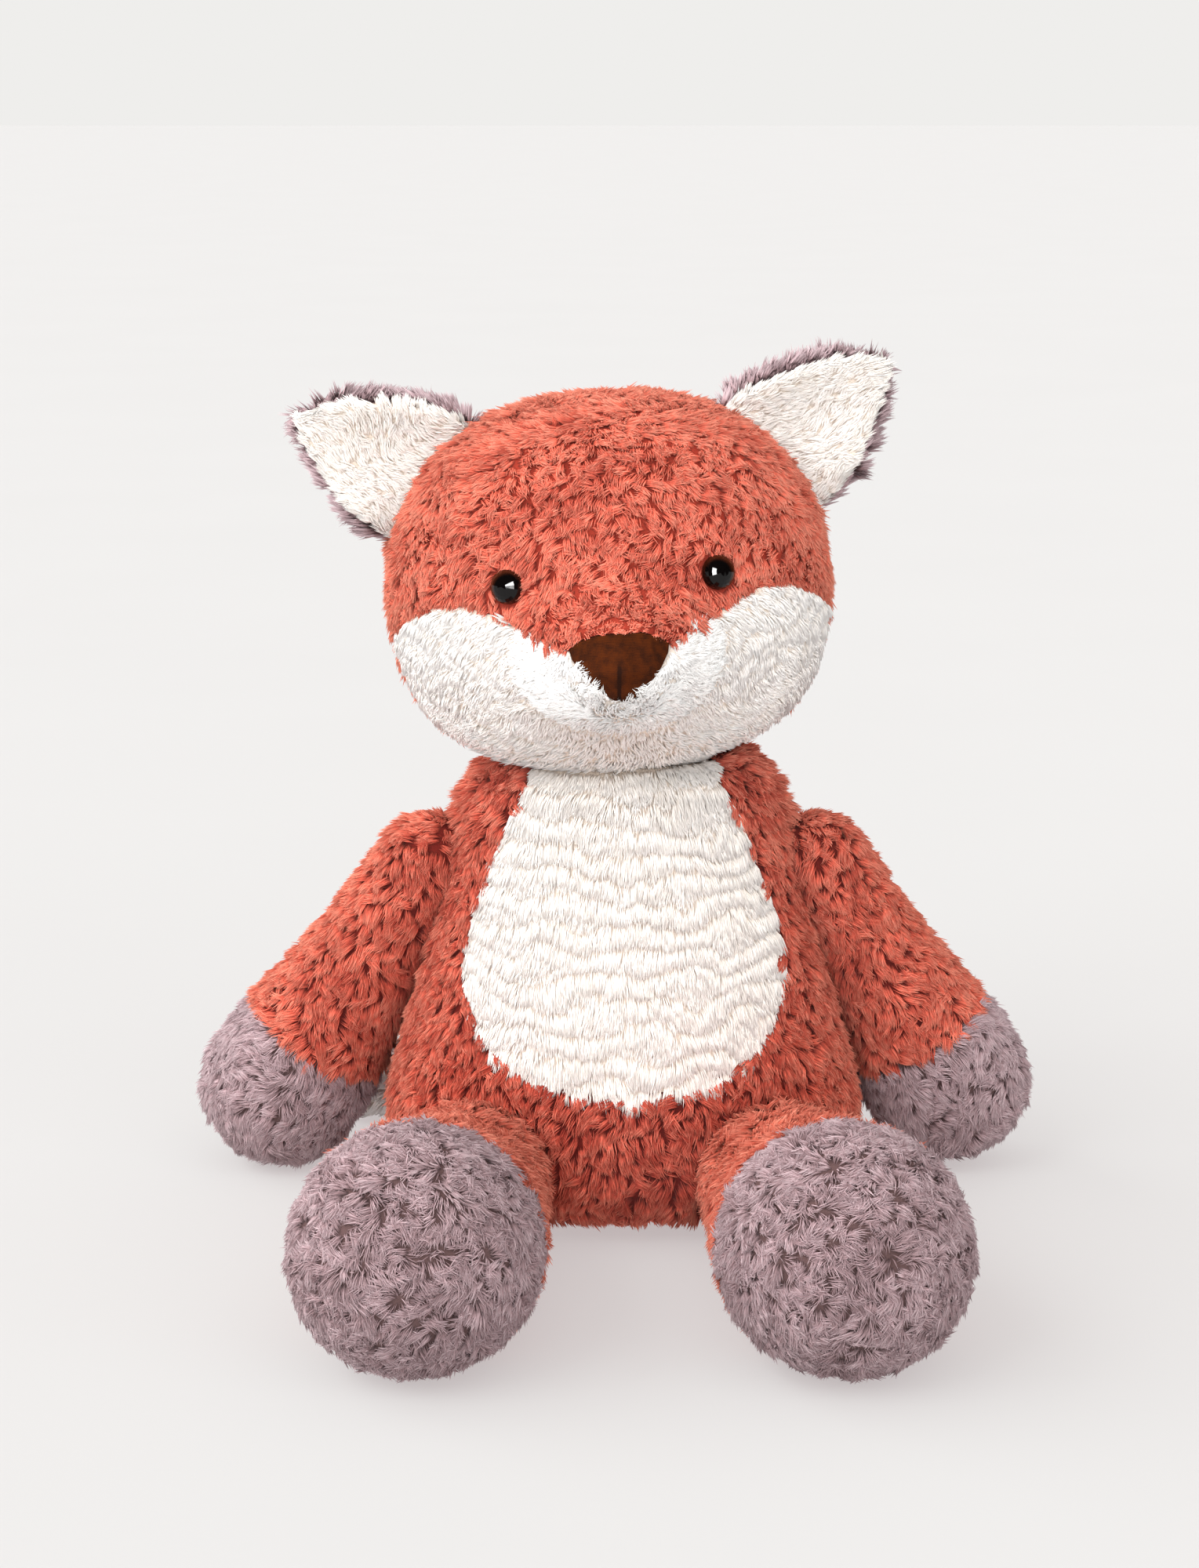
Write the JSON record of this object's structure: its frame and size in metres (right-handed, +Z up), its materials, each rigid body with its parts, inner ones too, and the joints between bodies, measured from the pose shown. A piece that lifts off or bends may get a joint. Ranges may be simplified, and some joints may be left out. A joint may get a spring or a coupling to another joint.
{
  "type": "plush fox",
  "caption": "Sitting plush fox in orange, cream and mauve long pile, with hanging arms, legs forward, pointed ears and a curled tail.",
  "frame": {"origin": "middle of the seat, on the surface that the fox sits on", "axes": "+Z up, the fox faces -Y, its left side is +X"},
  "size_m": [0.4391, 0.4908, 0.4334],
  "materials": {
    "orange_fur": "long shaggy pile",
    "mauve_fur": "curly pile",
    "cream_fur": "smooth pile in wavy ridges",
    "white_fur": "short dense pile",
    "brown_velour": "short velour",
    "eye_black": "gloss",
    "washer_white": "matte",
    "wadding": "loose fibre",
    "bag_cloth": "plain woven cloth"
  },
  "bodies": {
    "body": {"body_skin": "orange_fur", "belly_panel": "cream_fur", "body_stuffing": "wadding", "seat_pellet_bag": "bag_cloth"},
    "head": {"head_skin": "orange_fur", "face_panel": "cream_fur", "muzzle_panel": "white_fur", "nose_panel": "brown_velour", "head_stuffing": "wadding", "left_eye": "eye_black", "left_eye_washer": "washer_white", "right_eye": "eye_black", "right_eye_washer": "washer_white"},
    "left_ear": {"left_ear_front": "cream_fur", "left_ear_back": "mauve_fur"},
    "right_ear": {"right_ear_front": "cream_fur", "right_ear_back": "mauve_fur"},
    "left_arm": {"left_sleeve": "orange_fur", "left_paw": "mauve_fur", "left_arm_stuffing": "wadding"},
    "right_arm": {"right_sleeve": "orange_fur", "right_paw": "mauve_fur", "right_arm_stuffing": "wadding"},
    "left_leg": {"left_leg": "orange_fur", "left_foot": "mauve_fur", "left_leg_stuffing": "wadding", "left_foot_pellet_bag": "bag_cloth"},
    "right_leg": {"right_leg": "orange_fur", "right_foot": "mauve_fur", "right_leg_stuffing": "wadding", "right_foot_pellet_bag": "bag_cloth"},
    "tail": {"tail_base": "orange_fur", "tail_tip": "cream_fur", "tail_stuffing": "wadding"}
  },
  "joints": [
    {"name": "head_turn", "type": "hinge", "parent": "body", "child": "head", "pos_m": [0, 0, 0.2335], "axis": [0, 0, 1], "range_deg": [-35, 35], "stiffness_Nm_per_rad": 0.12},
    {"name": "left_ear_fold", "type": "hinge", "parent": "head", "child": "left_ear", "pos_m": [0.07232, 0.00628, 0.38287], "axis": [0.6518, 0.0205, -0.7581], "range_deg": [-25, 25], "stiffness_Nm_per_rad": 0.03},
    {"name": "right_ear_fold", "type": "hinge", "parent": "head", "child": "right_ear", "pos_m": [-0.09519, 0.00101, 0.37203], "axis": [0.4429, 0.0139, 0.8965], "range_deg": [-25, 25], "stiffness_Nm_per_rad": 0.03},
    {"name": "left_arm_swing", "type": "hinge", "parent": "body", "child": "left_arm", "pos_m": [0.08812, 0.00644, 0.17228], "axis": [-0.9643, 0, -0.2647], "range_deg": [-8, 85], "stiffness_Nm_per_rad": 0.05},
    {"name": "right_arm_swing", "type": "hinge", "parent": "body", "child": "right_arm", "pos_m": [-0.08812, 0.00644, 0.17228], "axis": [-0.9643, 0, 0.2647], "range_deg": [-8, 85], "stiffness_Nm_per_rad": 0.05},
    {"name": "left_leg_swing", "type": "hinge", "parent": "body", "child": "left_leg", "pos_m": [0.076, -0.08, 0.0335], "axis": [-1, 0, 0], "range_deg": [-70, 15], "stiffness_Nm_per_rad": 0.08},
    {"name": "right_leg_swing", "type": "hinge", "parent": "body", "child": "right_leg", "pos_m": [-0.076, -0.08, 0.0335], "axis": [-1, 0, 0], "range_deg": [-70, 15], "stiffness_Nm_per_rad": 0.08},
    {"name": "tail_swing", "type": "hinge", "parent": "body", "child": "tail", "pos_m": [0, 0.098, 0.042], "axis": [0, 0, 1], "range_deg": [-60, 0], "stiffness_Nm_per_rad": 0.04}
  ]
}
